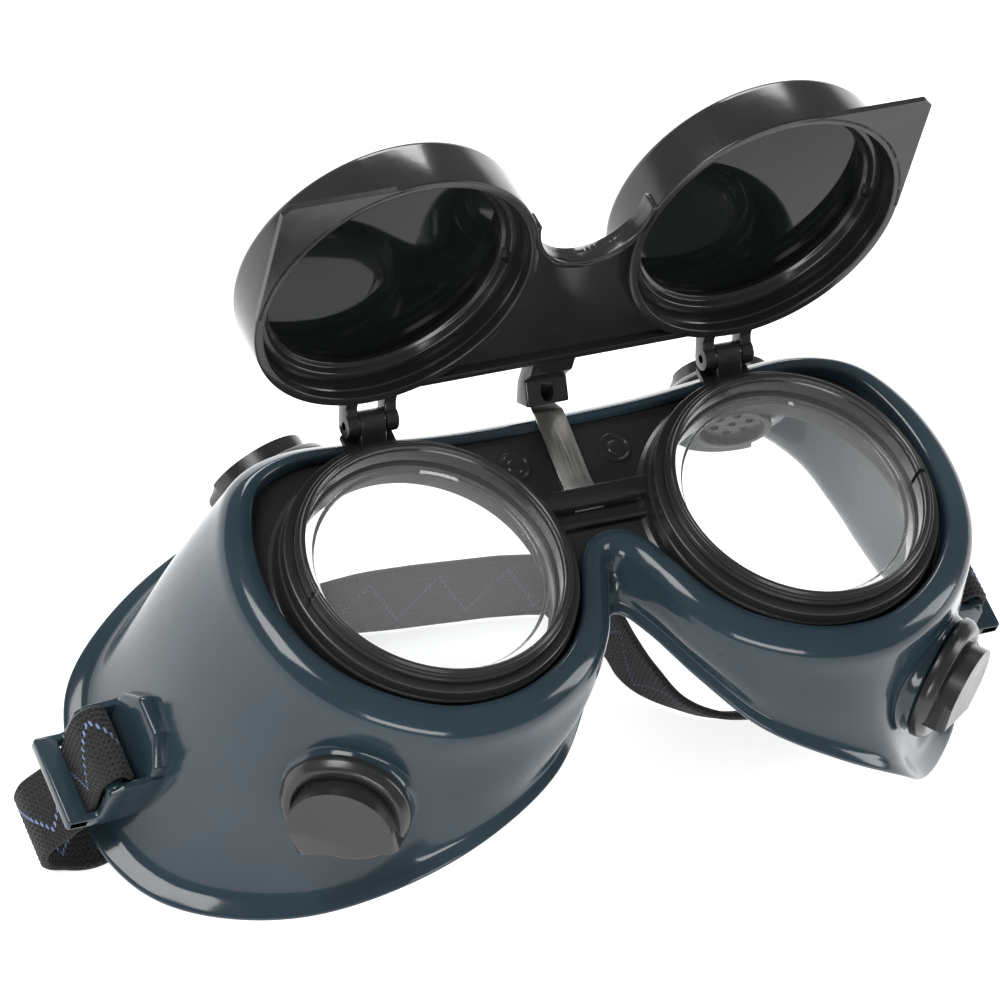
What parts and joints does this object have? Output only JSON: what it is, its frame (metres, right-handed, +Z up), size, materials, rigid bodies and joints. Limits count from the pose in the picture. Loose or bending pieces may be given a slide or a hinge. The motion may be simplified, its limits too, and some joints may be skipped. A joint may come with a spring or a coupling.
{
  "type": "welding goggles",
  "caption": "Flip-up gas welding goggles: soft vented body, clear round lenses, hinged front of dark shade lenses standing open, elastic head strap.",
  "frame": {"origin": "centre of the bounding box's footprint on the ground, with the goggles lying on their back on the head strap", "axes": "+X to the wearer's left, +Y towards the forehead edge, +Z up and out of the clear lenses"},
  "size_m": [0.1974, 0.0947, 0.1335],
  "materials": {
    "body_pvc": "soft glossy PVC",
    "black_plastic": "moulded, glossy",
    "vent_plastic": "moulded, glossy",
    "clear_glass": "clear, polished",
    "shade_glass": "very dark green, polished",
    "gasket_rubber": "matt",
    "spring_steel": "satin",
    "strap_elastic": "ribbed woven elastic with blue threads"
  },
  "bodies": {
    "goggles": {"goggle_body": "body_pvc", "front_plate": "black_plastic", "clear_lens_left": "clear_glass", "clear_lens_right": "clear_glass", "lens_gasket_left": "gasket_rubber", "lens_gasket_right": "gasket_rubber", "split_ring_left": "black_plastic", "split_ring_right": "black_plastic", "hinge_pin_left": "spring_steel", "hinge_pin_right": "spring_steel", "leaf_spring": "spring_steel", "vent_upper_left": "vent_plastic", "vent_upper_right": "vent_plastic", "vent_lower_left": "vent_plastic", "vent_lower_right": "vent_plastic", "vent_baffle_upper_left": "vent_plastic", "vent_baffle_upper_right": "vent_plastic", "vent_baffle_lower_left": "vent_plastic", "vent_baffle_lower_right": "vent_plastic", "head_strap": "strap_elastic"},
    "flip_up": {"flip_front": "black_plastic", "shade_lens_left": "shade_glass", "shade_lens_right": "shade_glass", "shade_ring_left": "black_plastic", "shade_ring_right": "black_plastic"}
  },
  "joints": [
    {"name": "flip_hinge", "type": "hinge", "parent": "goggles", "child": "flip_up", "pos_m": [0, 0.02811, 0.07508], "axis": [1, 0, 0], "range_deg": [-6, 98]}
  ]
}
